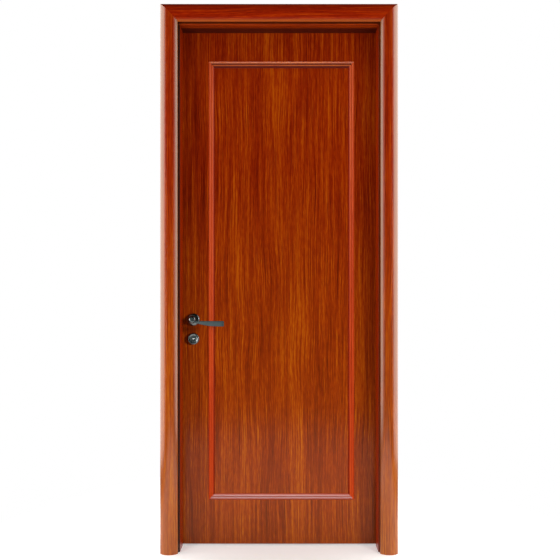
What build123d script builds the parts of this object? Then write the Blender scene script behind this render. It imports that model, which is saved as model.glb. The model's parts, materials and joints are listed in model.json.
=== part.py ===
"""Wooden door set: a lining in the wall, architraves on both faces, and a flush leaf with a lever lock.

The leaf hangs on three butt hinges at +X and opens away from the viewer, towards +Y.
Everything is laid out about the middle of the doorway (X), the middle of the wall (Y) and the
floor (Z). The written parts are moved so that the origin is on the wall face of the hinge-side
lining, where the frame is fixed first.
"""

import os

from build123d import *

# Doorway and wall
CLEAR_WIDTH = 770.0  # between the side stops
CLEAR_HEIGHT = 2045.0  # floor to the underside of the head stop
WALL_DEPTH = 120.0  # thickness of the wall, so the depth of the lining
LINING_THICKNESS = 22.0
STOP_THICKNESS = 14.0
STOP_ARRIS = 2.5  # round on the front edge of the stops

# Architraves, the same section on both faces of the wall
ARCHITRAVE_WIDTH = 68.0
ARCHITRAVE_EDGE = 18.0  # thickness at either edge
ARCHITRAVE_CROWN = 17.0  # how far the middle stands above the edges
ARCHITRAVE_ARRIS = 2.0  # round on both edges
FRONT_QUIRK = 5.0  # step back from the stop's face
BACK_QUIRK = 9.0  # step back from the rebate, room for the hinge knuckles

# Leaf
LEAF_THICKNESS = 42.0
EDGE_GAP = 5.0  # at the hinge side and the head
LATCH_GAP = 6.5  # wider, because the front corner swings out a little
FLOOR_GAP = 6.0
SEAL_SPACE = 5.0  # between the leaf's face and the stops
FACING_THICKNESS = 5.0
LOCK_STILE_WIDTH = 120.0
HINGE_STILE_WIDTH = 60.0
RAIL_HEIGHT = 80.0

# Seal in the space between the leaf and the stops
SEAL_WIDTH = 7.0
SEAL_CLEARANCE = 0.5

# Moulding planted on both faces of the leaf, placed from the leaf's edges
MOULDING_WIDTH = 24.0
MOULDING_BEAD = 10.0  # width of the outer bead
MOULDING_QUIRK = 2.4  # groove inside the bead
MOULDING_HEIGHT = 11.0  # crown of the bead above the leaf
MOULDING_STEP = 7.5  # height of the inner ovolo beside the groove
MOULDING_EDGE = 2.0  # thickness where either side meets the leaf
MOULDING_FROM_LATCH = 111.0
MOULDING_FROM_HINGE = 95.0
MOULDING_FROM_TOP = 123.5
MOULDING_FROM_BOTTOM = 177.5

# Lock
BACKSET = 50.0  # leaf's edge to the spindle
SPINDLE_HEIGHT = 902.0
KEY_DROP = 77.0  # spindle down to the key plug
FOREND_WIDTH = 22.0
FOREND_THICKNESS = 3.0
FOREND_MARGIN = 35.0  # forend beyond the case, above and below
CASE_THICKNESS = 16.0
CASE_DEPTH = 85.0
CASE_MARGIN = 45.0  # case above the spindle and below the key plug
CASE_CLEARANCE = 0.5
BOLT_THICKNESS = 12.0
BOLT_LENGTH = 28.0
BOLT_PROUD = 0.5
BOLT_CLEARANCE = 0.3
LATCH_HEIGHT = 18.0
DEAD_BOLT_HEIGHT = 30.0
STRIKE_WIDTH = 26.0
STRIKE_THICKNESS = 2.0
STRIKE_MARGIN = 34.0
STRIKE_HOLE_MARGIN = 2.0  # strike's hole around each bolt
STRIKE_POCKET = 14.0  # hollow in the lining behind the strike

# Handles
ROSE_RADIUS = 24.5
ROSE_THICKNESS = 9.0
ROSE_BEVEL = 3.0
KEY_ROSE_RADIUS = 23.0
KEY_ROSE_THICKNESS = 8.0
KEY_RING_WIDTH = 3.5  # raised collar round the key plug
KEY_RING_GROOVE = 1.5
HUB_RADIUS = 12.5
HUB_CLEARANCE = 0.4
HUB_SEAT = 2.0  # hub's inner end above the leaf
HUB_ROUND = 3.0
LEVER_PROJECTION = 56.0  # leaf's face to the front of the blade
LEVER_REACH = 126.0  # spindle to the tip
BLADE_THICKNESS = 9.0
BLADE_TOP = 5.5  # top edge below the spindle
BLADE_DEPTH = 21.5  # height of the blade at the tip
BLADE_NECK = 5.0  # height of the blade inside the hub
BLADE_FLAT = 26.0  # straight stretch of the lower edge at the tip
BLADE_CORNER = 3.0  # round on the corners of the tip
BLADE_ROUND = 2.0
SPINDLE_WIDTH = 8.0
SPINDLE_SOCKET = 30.0  # spindle's length inside each lever
SPINDLE_CLEARANCE = 0.5
PLUG_RADIUS = 9.0
PLUG_CLEARANCE = 0.4
PLUG_RECESS = 1.0  # plug's face behind the collar
PLUG_SEAT = 2.0
KEYWAY_LENGTH = 11.0
KEYWAY_WIDTH = 2.4
KEYWAY_DEPTH = 3.0
TAIL_WIDTH = 5.0
TAIL_SOCKET = 3.0

# Hinges
HINGE_HEIGHT = 100.0
HINGE_PLATE = 2.5
HINGE_REACH = 32.0  # plate's width in the edge
HINGE_FROM_TOP = 200.0  # leaf's top to the middle of the upper hinge
HINGE_FROM_BOTTOM = 250.0
KNUCKLE_RADIUS = 6.0
KNUCKLE_OFFSET = 0.5  # knuckle's side behind the leaf's back face
KNUCKLE_COUNT = 5
KNUCKLE_GAP = 0.4
PIN_RADIUS = 3.0
PIN_CLEARANCE = 0.1
PIN_HEAD_RADIUS = 5.0
PIN_HEAD_HEIGHT = 4.0

# Lines that the pieces share
HALF_CLEAR = CLEAR_WIDTH / 2
REBATE_X = HALF_CLEAR + STOP_THICKNESS
WALL_X = REBATE_X + LINING_THICKNESS
REBATE_Z = CLEAR_HEIGHT + STOP_THICKNESS
WALL_Z = REBATE_Z + LINING_THICKNESS
FRONT_Y = -WALL_DEPTH / 2
BACK_Y = WALL_DEPTH / 2
LEAF_FRONT = BACK_Y - LEAF_THICKNESS
LEAF_MID = BACK_Y - LEAF_THICKNESS / 2
STOP_BACK = LEAF_FRONT - SEAL_SPACE
LEAF_LATCH = -REBATE_X + LATCH_GAP
LEAF_HINGE = REBATE_X - EDGE_GAP
LEAF_TOP = REBATE_Z - EDGE_GAP
SPINDLE_X = LEAF_LATCH + BACKSET
KEY_HEIGHT = SPINDLE_HEIGHT - KEY_DROP
HINGE_X = LEAF_HINGE + EDGE_GAP / 2
HINGE_Y = BACK_Y + KNUCKLE_OFFSET + KNUCKLE_RADIUS
HINGE_LOWER = FLOOR_GAP + HINGE_FROM_BOTTOM
HINGE_UPPER = LEAF_TOP - HINGE_FROM_TOP
HINGE_HEIGHTS = (HINGE_LOWER, (HINGE_LOWER + HINGE_UPPER) / 2, HINGE_UPPER)
MIRROR_PLANE = Plane(origin=(0, LEAF_MID, 0), x_dir=(1, 0, 0), z_dir=(0, 1, 0))
TO_ORIGIN = Pos(-WALL_X, 0, 0)


def block(x0, x1, y0, y1, z0, z1):
    """A box between two corners."""
    middle = Pos((x0 + x1) / 2, (y0 + y1) / 2, (z0 + z1) / 2)
    return middle * Box(x1 - x0, y1 - y0, z1 - z0)


def rod(x, z, radius, y0, y1):
    """A cylinder along Y."""
    return Pos(x, (y0 + y1) / 2, z) * Rot(90, 0, 0) * Cylinder(radius, y1 - y0)


def post(x, y, radius, z0, z1):
    """A cylinder along Z."""
    return Pos(x, y, (z0 + z1) / 2) * Cylinder(radius, z1 - z0)


def mitred_sides(section, width, inner, plane_y, proud, bottom):
    """The sides of a mitred frame that lies on the plane y = plane_y.

    section is a face with its width outwards from the inner edge along x and its height along y.
    inner holds the inner edges as left, right, bottom and top. proud is the Y direction of the
    section's height. Without a bottom side, the two uprights end square at the inner bottom.
    """
    left, right, low, high = inner
    foot = low - width if bottom else low
    outlines = {
        "latch": [(left, low), (left, high), (left - width, high + width), (left - width, foot)],
        "hinge": [(right, low), (right, high), (right + width, high + width), (right + width, foot)],
        "head": [(left, high), (right, high), (right + width, high + width), (left - width, high + width)],
    }
    edges = {
        "latch": (Vector(left, plane_y, low), Vector(-1, 0, 0)),
        "hinge": (Vector(right, plane_y, low), Vector(1, 0, 0)),
        "head": (Vector(left, plane_y, high), Vector(0, 0, 1)),
    }
    if bottom:
        outlines["sill"] = [(left, low), (right, low), (right + width, foot), (left - width, foot)]
        edges["sill"] = (Vector(left, plane_y, low), Vector(0, 0, -1))
    reach = right - left + high - low + 4 * width
    sides = {}
    for name, outline in outlines.items():
        start, outward = edges[name]
        lay = Plane(origin=start, x_dir=outward, z_dir=outward.cross(Vector(0, proud, 0)))
        bar = extrude(lay * section, amount=reach, both=True)
        trim = extrude(Plane.XZ * make_face(Polyline(*outline, close=True)), amount=reach, both=True)
        sides[name] = bar & trim
    return sides


def lining():
    """The three boards that line the wall, with the cuts for the strike and the hinges."""
    latch = block(-WALL_X, -REBATE_X, FRONT_Y, BACK_Y, 0, REBATE_Z)
    latch -= strike_blank()
    for height, middle in bolt_places():
        half_y = BOLT_THICKNESS / 2 + STRIKE_HOLE_MARGIN
        half_z = height / 2 + STRIKE_HOLE_MARGIN
        latch -= block(
            -REBATE_X - STRIKE_POCKET, -REBATE_X, LEAF_MID - half_y, LEAF_MID + half_y,
            middle - half_z, middle + half_z,
        )
    hinge = block(REBATE_X, WALL_X, FRONT_Y, BACK_Y, 0, REBATE_Z)
    for middle in HINGE_HEIGHTS:
        hinge -= hinge_plate(REBATE_X, REBATE_X + HINGE_PLATE, middle)
    head = block(-WALL_X, WALL_X, FRONT_Y, BACK_Y, REBATE_Z, WALL_Z)
    return {"latch_side_lining": latch, "hinge_side_lining": hinge, "head_lining": head}


def stops():
    """Thick boards in front of the leaf; they make the reveal, and their back ends stop the leaf."""
    depth = STOP_BACK - FRONT_Y
    edge = Rectangle(STOP_THICKNESS, depth, align=(Align.MIN, Align.MIN))
    arris = edge.vertices().sort_by_distance((0, depth, 0))[0]
    section = fillet(arris, STOP_ARRIS)
    inner = (-HALF_CLEAR, HALF_CLEAR, 0, CLEAR_HEIGHT)
    sides = mitred_sides(section, STOP_THICKNESS, inner, STOP_BACK, -1, False)
    return named(sides, "{}_stop")


def seals():
    """Half-round rubber strips on the back ends of the stops."""
    height = SEAL_SPACE - SEAL_CLEARANCE
    start = (STOP_THICKNESS - min(EDGE_GAP, LATCH_GAP) - SEAL_WIDTH) / 2
    dome = ThreePointArc((start, 0), (start + SEAL_WIDTH / 2, height), (start + SEAL_WIDTH, 0))
    section = make_face(dome + Line((start + SEAL_WIDTH, 0), (start, 0)))
    inner = (-HALF_CLEAR, HALF_CLEAR, 0, CLEAR_HEIGHT)
    sides = mitred_sides(section, STOP_THICKNESS, inner, STOP_BACK, 1, False)
    return named(sides, "{}_seal")


def architraves():
    """Crowned casings, mitred at the top corners, on the front and the back of the wall."""
    crown = ARCHITRAVE_EDGE + ARCHITRAVE_CROWN
    far = ARCHITRAVE_WIDTH
    arc = ThreePointArc((0, ARCHITRAVE_EDGE), (far / 2, crown), (far, ARCHITRAVE_EDGE))
    rim = Polyline((far, ARCHITRAVE_EDGE), (far, 0), (0, 0), (0, ARCHITRAVE_EDGE))
    section = make_face(arc + rim)
    section = fillet(section.vertices().sort_by(Axis.Y)[-2:], ARCHITRAVE_ARRIS)
    front_x = HALF_CLEAR + FRONT_QUIRK
    back_x = REBATE_X + BACK_QUIRK
    front_inner = (-front_x, front_x, 0, CLEAR_HEIGHT + FRONT_QUIRK)
    back_inner = (-back_x, back_x, 0, REBATE_Z + BACK_QUIRK)
    front = mitred_sides(section, ARCHITRAVE_WIDTH, front_inner, FRONT_Y, -1, False)
    back = mitred_sides(section, ARCHITRAVE_WIDTH, back_inner, BACK_Y, 1, False)
    return named(front, "front_{}_architrave") | named(back, "back_{}_architrave")


def named(sides, pattern):
    """The sides under their part names."""
    words = {"latch": "latch_side", "hinge": "hinge_side", "head": "head", "sill": "bottom"}
    return {pattern.format(words[side]): shape for side, shape in sides.items()}


def leaf():
    """Stiles, rails and core between two facing sheets, with the lock's and the hinges' cuts."""
    inner_front = LEAF_FRONT + FACING_THICKNESS
    inner_back = BACK_Y - FACING_THICKNESS
    lock_x = LEAF_LATCH + LOCK_STILE_WIDTH
    hinge_x = LEAF_HINGE - HINGE_STILE_WIDTH
    low = FLOOR_GAP + RAIL_HEIGHT
    high = LEAF_TOP - RAIL_HEIGHT
    spindle_hole = rod(SPINDLE_X, SPINDLE_HEIGHT, spindle_bore(), FRONT_Y, BACK_Y)
    key_hole = rod(SPINDLE_X, KEY_HEIGHT, tail_bore(), FRONT_Y, BACK_Y)
    holes = spindle_hole + key_hole
    front = block(LEAF_LATCH, LEAF_HINGE, LEAF_FRONT, inner_front, FLOOR_GAP, LEAF_TOP) - holes
    back = block(LEAF_LATCH, LEAF_HINGE, inner_back, BACK_Y, FLOOR_GAP, LEAF_TOP) - holes
    lock_stile = block(LEAF_LATCH, lock_x, inner_front, inner_back, FLOOR_GAP, LEAF_TOP) - holes
    lock_stile -= forend() + lock_box(CASE_CLEARANCE)
    hinge_stile = block(hinge_x, LEAF_HINGE, inner_front, inner_back, FLOOR_GAP, LEAF_TOP)
    for middle in HINGE_HEIGHTS:
        plate = hinge_plate(LEAF_HINGE - HINGE_PLATE, LEAF_HINGE, middle)
        hinge_stile -= plate
        back -= plate
    return {
        "front_facing": front,
        "back_facing": back,
        "lock_stile": lock_stile,
        "hinge_stile": hinge_stile,
        "top_rail": block(lock_x, hinge_x, inner_front, inner_back, high, LEAF_TOP),
        "bottom_rail": block(lock_x, hinge_x, inner_front, inner_back, FLOOR_GAP, low),
        "leaf_core": block(lock_x, hinge_x, inner_front, inner_back, low, high),
    }


def moulding_section():
    """Outer bead, groove, and an ovolo that falls to the inner edge."""
    bead_in = MOULDING_WIDTH - MOULDING_BEAD
    ovolo = bead_in - MOULDING_QUIRK
    floor = MOULDING_STEP - MOULDING_QUIRK
    side = (MOULDING_EDGE + MOULDING_HEIGHT) / 2
    crown = (bead_in + MOULDING_BEAD / 2, MOULDING_HEIGHT)
    outer = ThreePointArc((bead_in, side), crown, (MOULDING_WIDTH, side))
    slope = Spline(
        (0, MOULDING_EDGE), (ovolo, MOULDING_STEP),
        tangents=[(ovolo, MOULDING_HEIGHT), (ovolo, MOULDING_EDGE / 4)],
    )
    lines = (
        Line((ovolo, MOULDING_STEP), (ovolo, floor))
        + Line((ovolo, floor), (bead_in, floor))
        + Line((bead_in, floor), (bead_in, side))
        + Line((MOULDING_WIDTH, side), (MOULDING_WIDTH, 0))
        + Line((MOULDING_WIDTH, 0), (0, 0))
        + Line((0, 0), (0, MOULDING_EDGE))
    )
    return make_face(outer + slope + lines)


def mouldings():
    """A mitred frame of moulding on each face of the leaf."""
    inner = (
        LEAF_LATCH + MOULDING_FROM_LATCH + MOULDING_WIDTH,
        LEAF_HINGE - MOULDING_FROM_HINGE - MOULDING_WIDTH,
        FLOOR_GAP + MOULDING_FROM_BOTTOM + MOULDING_WIDTH,
        LEAF_TOP - MOULDING_FROM_TOP - MOULDING_WIDTH,
    )
    sides = mitred_sides(moulding_section(), MOULDING_WIDTH, inner, LEAF_FRONT, -1, True)
    front = named(sides, "front_{}_moulding")
    return front | on_back(front)


def on_back(front):
    """Copies of the front pieces, mirrored through the leaf to its back."""
    copies = {}
    for name, shape in front.items():
        copies[name.replace("front", "back")] = mirror(shape, about=MIRROR_PLANE)
    return copies


def spindle_bore():
    """Radius that lets the square spindle turn."""
    return SPINDLE_WIDTH / 2 * 2**0.5 + SPINDLE_CLEARANCE


def tail_bore():
    """Radius that lets the plug's square tail bar turn."""
    return TAIL_WIDTH / 2 * 2**0.5 + SPINDLE_CLEARANCE


def bolt_places():
    """Height and middle of the latch bolt and of the dead bolt."""
    return ((LATCH_HEIGHT, SPINDLE_HEIGHT), (DEAD_BOLT_HEIGHT, KEY_HEIGHT))


def lock_box(clearance):
    """The lock case, or the mortise round it."""
    return block(
        LEAF_LATCH + FOREND_THICKNESS, LEAF_LATCH + CASE_DEPTH + clearance,
        LEAF_MID - CASE_THICKNESS / 2 - clearance, LEAF_MID + CASE_THICKNESS / 2 + clearance,
        KEY_HEIGHT - CASE_MARGIN - clearance, SPINDLE_HEIGHT + CASE_MARGIN + clearance,
    )


def forend():
    """The lock's plate in the edge of the leaf."""
    return block(
        LEAF_LATCH, LEAF_LATCH + FOREND_THICKNESS,
        LEAF_MID - FOREND_WIDTH / 2, LEAF_MID + FOREND_WIDTH / 2,
        KEY_HEIGHT - CASE_MARGIN - FOREND_MARGIN, SPINDLE_HEIGHT + CASE_MARGIN + FOREND_MARGIN,
    )


def bolt(height, middle, clearance):
    """A bolt drawn back into the case, or the slot round it."""
    half_y = BOLT_THICKNESS / 2 + clearance
    half_z = height / 2 + clearance
    return block(
        LEAF_LATCH - BOLT_PROUD, LEAF_LATCH - BOLT_PROUD + BOLT_LENGTH,
        LEAF_MID - half_y, LEAF_MID + half_y, middle - half_z, middle + half_z,
    )


def strike_blank():
    """The strike plate before its holes."""
    return block(
        -REBATE_X - STRIKE_THICKNESS, -REBATE_X,
        LEAF_MID - STRIKE_WIDTH / 2, LEAF_MID + STRIKE_WIDTH / 2,
        KEY_HEIGHT - STRIKE_MARGIN, SPINDLE_HEIGHT + STRIKE_MARGIN,
    )


def lock():
    """Mortise lock in the leaf's edge, with both bolts drawn back, and its strike in the lining."""
    case = forend() + lock_box(0)
    case -= rod(SPINDLE_X, SPINDLE_HEIGHT, spindle_bore(), FRONT_Y, BACK_Y)
    case -= rod(SPINDLE_X, KEY_HEIGHT, tail_bore(), FRONT_Y, BACK_Y)
    strike = strike_blank()
    bolts = []
    for height, middle in bolt_places():
        case -= bolt(height, middle, BOLT_CLEARANCE)
        strike -= Pos(-LATCH_GAP - STRIKE_THICKNESS, 0, 0) * bolt(height, middle, STRIKE_HOLE_MARGIN)
        bolts.append(bolt(height, middle, 0))
    latch_nose = bolts[0].edges().filter_by(Axis.Z).sort_by(Axis.X)[0]
    return {
        "lock_case": case,
        "latch_bolt": chamfer(latch_nose, BOLT_THICKNESS / 3),
        "dead_bolt": bolts[1],
        "strike_plate": strike,
    }


def turned(profile, z):
    """A turned piece on the leaf's front, from a profile of radius and height above the leaf."""
    face = Plane.XZ * make_face(Polyline(*profile, close=True))
    return Pos(SPINDLE_X, LEAF_FRONT, z) * Rot(90, 0, 0) * revolve(face, Axis.Z)


def roses():
    """Round plates under the lever and round the key plug."""
    hole = HUB_RADIUS + HUB_CLEARANCE
    lever_rose = turned(
        [
            (hole, 0), (ROSE_RADIUS, 0), (ROSE_RADIUS, ROSE_THICKNESS - ROSE_BEVEL),
            (ROSE_RADIUS - ROSE_BEVEL, ROSE_THICKNESS), (hole, ROSE_THICKNESS),
        ],
        SPINDLE_HEIGHT,
    )
    key_hole = PLUG_RADIUS + PLUG_CLEARANCE
    collar = key_hole + KEY_RING_WIDTH
    low = KEY_ROSE_THICKNESS - KEY_RING_GROOVE
    key_rose = turned(
        [
            (key_hole, 0), (KEY_ROSE_RADIUS, 0), (KEY_ROSE_RADIUS, KEY_ROSE_THICKNESS - ROSE_BEVEL),
            (KEY_ROSE_RADIUS - ROSE_BEVEL, KEY_ROSE_THICKNESS),
            (KEY_ROSE_RADIUS - 2 * ROSE_BEVEL, KEY_ROSE_THICKNESS),
            (collar + KEY_RING_GROOVE, low), (collar, low), (collar, KEY_ROSE_THICKNESS),
            (key_hole, KEY_ROSE_THICKNESS),
        ],
        KEY_HEIGHT,
    )
    front = {"front_lever_rose": lever_rose, "front_key_rose": key_rose}
    return front | on_back(front)


def levers():
    """Cast levers: a round hub and a blade that widens downwards to a square tip, on one spindle."""
    nose = LEAF_FRONT - LEVER_PROJECTION
    top = -BLADE_TOP
    tip = top - BLADE_DEPTH
    neck = (HUB_RADIUS / 2, top - BLADE_NECK)
    flat_end = (LEVER_REACH - BLADE_FLAT, tip)
    edge = TangentArc(flat_end, neck, tangent=(-1, 0))
    rest = Polyline(neck, (HUB_RADIUS / 2, top), (LEVER_REACH, top), (LEVER_REACH, tip), flat_end)
    outline = make_face(edge + rest)
    outline = fillet(outline.vertices().sort_by(Axis.X)[-2:], BLADE_CORNER)
    blade = extrude(Plane.XZ * outline, amount=BLADE_THICKNESS)
    rim = blade.edges().filter_by(Axis.Y, reverse=True)
    blade = fillet(rim.filter_by_position(Axis.X, HUB_RADIUS, LEVER_REACH), BLADE_ROUND)
    blade = Pos(SPINDLE_X, nose + BLADE_THICKNESS, SPINDLE_HEIGHT) * blade
    hub = rod(SPINDLE_X, SPINDLE_HEIGHT, HUB_RADIUS, nose, LEAF_FRONT - HUB_SEAT)
    hub = fillet(hub.edges().sort_by(Axis.Y)[0], HUB_ROUND)
    inner = LEAF_FRONT - HUB_SEAT - SPINDLE_SOCKET
    spindle = block(
        SPINDLE_X - SPINDLE_WIDTH / 2, SPINDLE_X + SPINDLE_WIDTH / 2, inner, 2 * LEAF_MID - inner,
        SPINDLE_HEIGHT - SPINDLE_WIDTH / 2, SPINDLE_HEIGHT + SPINDLE_WIDTH / 2,
    )
    front = {"front_lever": hub + blade - spindle}
    return front | on_back(front) | {"spindle": spindle}


def key_plugs():
    """Slotted plugs in the key roses, joined through the lock by a square tail bar."""
    face = LEAF_FRONT - KEY_ROSE_THICKNESS + PLUG_RECESS
    seat = LEAF_FRONT - PLUG_SEAT
    plug = rod(SPINDLE_X, KEY_HEIGHT, PLUG_RADIUS, face, seat)
    plug -= block(
        SPINDLE_X - KEYWAY_LENGTH / 2, SPINDLE_X + KEYWAY_LENGTH / 2, face, face + KEYWAY_DEPTH,
        KEY_HEIGHT - KEYWAY_WIDTH / 2, KEY_HEIGHT + KEYWAY_WIDTH / 2,
    )
    end = seat - min(TAIL_SOCKET, (seat - face - KEYWAY_DEPTH) / 2)
    tail = block(
        SPINDLE_X - TAIL_WIDTH / 2, SPINDLE_X + TAIL_WIDTH / 2, end, 2 * LEAF_MID - end,
        KEY_HEIGHT - TAIL_WIDTH / 2, KEY_HEIGHT + TAIL_WIDTH / 2,
    )
    front = {"front_key_plug": plug - tail}
    return front | on_back(front) | {"tail_bar": tail}


def hinge_plate(x0, x1, middle):
    """A hinge's flat plate, let into the edge of a board."""
    return block(x0, x1, BACK_Y - HINGE_REACH, BACK_Y, middle - HINGE_HEIGHT / 2, middle + HINGE_HEIGHT / 2)


def hinge(middle):
    """One butt hinge: a plate with every other knuckle for each side, and the loose pin."""
    pitch = HINGE_HEIGHT / KNUCKLE_COUNT
    low = middle - HINGE_HEIGHT / 2
    frame_x = (REBATE_X, REBATE_X + HINGE_PLATE)
    door_x = (LEAF_HINGE - HINGE_PLATE, LEAF_HINGE)
    frame_side = hinge_plate(*frame_x, middle)
    door_side = hinge_plate(*door_x, middle)
    for index in range(KNUCKLE_COUNT):
        z0 = low + index * pitch + KNUCKLE_GAP / 2
        z1 = low + (index + 1) * pitch - KNUCKLE_GAP / 2
        knuckle = post(HINGE_X, HINGE_Y, KNUCKLE_RADIUS, z0, z1)
        if index % 2 == 0:
            frame_side += knuckle + block(*frame_x, BACK_Y, HINGE_Y, z0, z1)
        else:
            door_side += knuckle + block(*door_x, BACK_Y, HINGE_Y, z0, z1)
    top = low + HINGE_HEIGHT - KNUCKLE_GAP / 2
    bore = post(HINGE_X, HINGE_Y, PIN_RADIUS + PIN_CLEARANCE, low, low + HINGE_HEIGHT)
    pin = post(HINGE_X, HINGE_Y, PIN_RADIUS, low, top)
    pin += post(HINGE_X, HINGE_Y, PIN_HEAD_RADIUS, top, top + PIN_HEAD_HEIGHT)
    return frame_side - bore, door_side - bore, pin


def hinges():
    """The three hinges of the leaf, like pieces together."""
    sets = [hinge(middle) for middle in HINGE_HEIGHTS]
    names = ("hinge_frame_sides", "hinge_door_sides", "hinge_pins")
    return {name: Compound(list(pieces)) for name, pieces in zip(names, zip(*sets))}


def main():
    pieces = lining() | stops() | seals() | architraves() | leaf() | mouldings()
    pieces = pieces | lock() | roses() | levers() | key_plugs() | hinges()
    os.makedirs("parts", exist_ok=True)
    for name, shape in pieces.items():
        export_step(TO_ORIGIN * shape, f"parts/{name}.step")
    print(len(pieces), "pieces")


main()
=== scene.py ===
# %% [markdown]
# A wooden door set: a varnished leaf with a planted moulding and a lever lock, hung in a lining with
# crowned architraves. The joiner's solids come from the imported CAD model, and this lesson gives them
# their looks. The solids are loaded first and never moved, so every later piece can be measured from
# them.

# %% Load the joiner's solids
import json
import math

import bpy
import numpy as np
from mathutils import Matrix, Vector

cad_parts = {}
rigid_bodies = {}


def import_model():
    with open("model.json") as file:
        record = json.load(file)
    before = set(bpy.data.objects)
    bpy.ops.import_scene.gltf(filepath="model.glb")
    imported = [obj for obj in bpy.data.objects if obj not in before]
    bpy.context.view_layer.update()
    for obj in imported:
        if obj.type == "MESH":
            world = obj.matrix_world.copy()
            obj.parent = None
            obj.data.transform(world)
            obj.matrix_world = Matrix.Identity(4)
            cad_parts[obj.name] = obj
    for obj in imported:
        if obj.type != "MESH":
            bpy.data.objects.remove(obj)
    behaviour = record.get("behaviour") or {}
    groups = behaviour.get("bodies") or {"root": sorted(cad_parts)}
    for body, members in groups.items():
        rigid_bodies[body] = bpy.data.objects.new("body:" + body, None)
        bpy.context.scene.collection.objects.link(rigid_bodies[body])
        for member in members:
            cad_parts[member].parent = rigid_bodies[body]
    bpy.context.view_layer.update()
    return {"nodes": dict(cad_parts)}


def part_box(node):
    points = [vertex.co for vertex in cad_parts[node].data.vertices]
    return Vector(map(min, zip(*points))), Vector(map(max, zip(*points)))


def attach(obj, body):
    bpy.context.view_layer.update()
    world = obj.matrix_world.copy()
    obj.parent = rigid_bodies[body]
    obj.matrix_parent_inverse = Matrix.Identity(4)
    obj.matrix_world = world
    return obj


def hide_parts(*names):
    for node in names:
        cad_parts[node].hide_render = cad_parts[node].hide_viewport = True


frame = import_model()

nodes = frame["nodes"]
scene = bpy.context.scene

# %% [markdown]
# The photograph looks straight at the door, so its uprights stay parallel. A level camera with a little
# upward shift does the same, as an architect's camera does, where a tilted one would make them lean.
# Distance and height come from how much of the reveal and of the architraves' feet is seen.

# %% The camera
MIDDLE_X = -0.421  # middle of the doorway
CAMERA_PLACE = (MIDDLE_X + 0.0208, -2.6, 0.9156)
camera_data = bpy.data.cameras.new("level_camera")
camera_data.sensor_width = 36.0
camera_data.lens = 42.09
camera_data.shift_x = -0.0080
camera_data.shift_y = 0.0645
camera = bpy.data.objects.new("level_camera", camera_data)
camera.location = CAMERA_PLACE
camera.rotation_euler = (math.radians(90), 0, 0)
scene.collection.objects.link(camera)
scene.camera = camera
scene.view_settings.view_transform = "Standard"
print("camera:", [round(v, 3) for v in camera.location], "lens", camera_data.lens)

# %% [markdown]
# Varnish shows its surroundings, so the studio matters as much as the wood. Two tall walls of soft light
# stand left and right and draw the bright lines along the rounded edges of the frame. Polarising sheets
# keep the glare of the other large lamps away: a pair lights the frame and the moulding from in front, a
# weak pair lights the leaf, and a pair lights the back. A tall lamp far off at the right lights the leaf
# alone and throws the handle's shadow on it. The level strips of the moulding and the handle get lamps of
# their own, shielded from the rest, as a photographer would place them.

# %% The studio light
def soft_box(name, place, target, size, radiance, glare=True, lights=None, shaded_by=None):
    """A flat lamp of even brightness: its power is radiance x pi x area.

    A lamp without glare is not mirrored. A lamp may light, and be shaded by, one group of pieces alone.
    """
    lamp = bpy.data.lights.new(name, "AREA")
    lamp.shape = "RECTANGLE"
    lamp.size, lamp.size_y = size
    lamp.energy = radiance * math.pi * size[0] * size[1]
    box = bpy.data.objects.new(name, lamp)
    box.location = place
    box.rotation_euler = (Vector(target) - Vector(place)).to_track_quat("-Z", "Y").to_euler()
    box.visible_camera = False
    box.visible_glossy = glare
    if lights:
        box.light_linking.receiver_collection = lights
    if shaded_by:
        box.light_linking.blocker_collection = shaded_by
    scene.collection.objects.link(box)
    return box


# groups of pieces that a lamp lights or that shade it, filled when all pieces are there
moulding_group = bpy.data.collections.new("moulding_group")
bottom_strip_group = bpy.data.collections.new("bottom_strip_group")
handle_group = bpy.data.collections.new("handle_group")
leaf_group = bpy.data.collections.new("leaf_group")
rest_group = bpy.data.collections.new("rest_group")
room_group = bpy.data.collections.new("room_group")

# each lamp has a place, a target and a size
WALL_REACH = 1.55  # from the middle of the doorway to either wall of light
DOOR_MIDDLE = (MIDDLE_X, 0, 1.1)
PAIR_SIZE = (0.6, 1.5)
for side, wall_level, leaf_level in ((-1, 2.05, 0.4), (1, 2.0, 0.6)):
    x = MIDDLE_X + side * WALL_REACH
    wall = (x, 0.45, 1.6), (MIDDLE_X, 0.45, 1.6), (2.8, 3.0)
    in_front = (x, -1.9, 1.3), DOOR_MIDDLE, PAIR_SIZE
    behind = (x, 2.0, 1.3), DOOR_MIDDLE, PAIR_SIZE
    soft_box("side_wall_of_light", *wall, wall_level, lights=room_group)
    soft_box("polarised_light", *in_front, 11.2, glare=False, lights=rest_group)
    soft_box("leaf_light", *in_front, leaf_level, glare=False, lights=leaf_group)
    soft_box("back_light", *behind, 9.0, glare=False)
far_right = (MIDDLE_X + 16.0, -7.0, 4.0), (MIDDLE_X, 0, 1.05), (1.6, 4.0)
soft_box("leaf_side_light", *far_right, 330.0, glare=False, lights=leaf_group, shaded_by=handle_group)
above = (MIDDLE_X, -2.0, 3.4), (MIDDLE_X, -2.0, 0), (1.6, 7.2)
soft_box("moulding_light", *above, 2.8, lights=moulding_group, shaded_by=moulding_group)
ahead = (MIDDLE_X, -4.2, 1.5), (MIDDLE_X, 0, 1.5), (1.6, 2.4)
soft_box("bottom_strip_light", *ahead, 5.0, lights=bottom_strip_group, shaded_by=moulding_group)
HANDLE_PLACE = (-0.7635, 0.0, 0.88)
for name, offset, size, radiance in (
    ("handle_left", (-1.10, -1.9, 0.05), (0.75, 0.8), 14.0),
    ("handle_right", (1.35, -0.70, 0.35), (0.26, 0.26), 20.0),
    ("handle_low", (0.2, -1.5, -0.75), (1.6, 0.8), 0.7),
):
    place = tuple(a + b for a, b in zip(HANDLE_PLACE, offset))
    soft_box(name, place, HANDLE_PLACE, size, radiance, lights=handle_group, shaded_by=handle_group)

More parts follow.
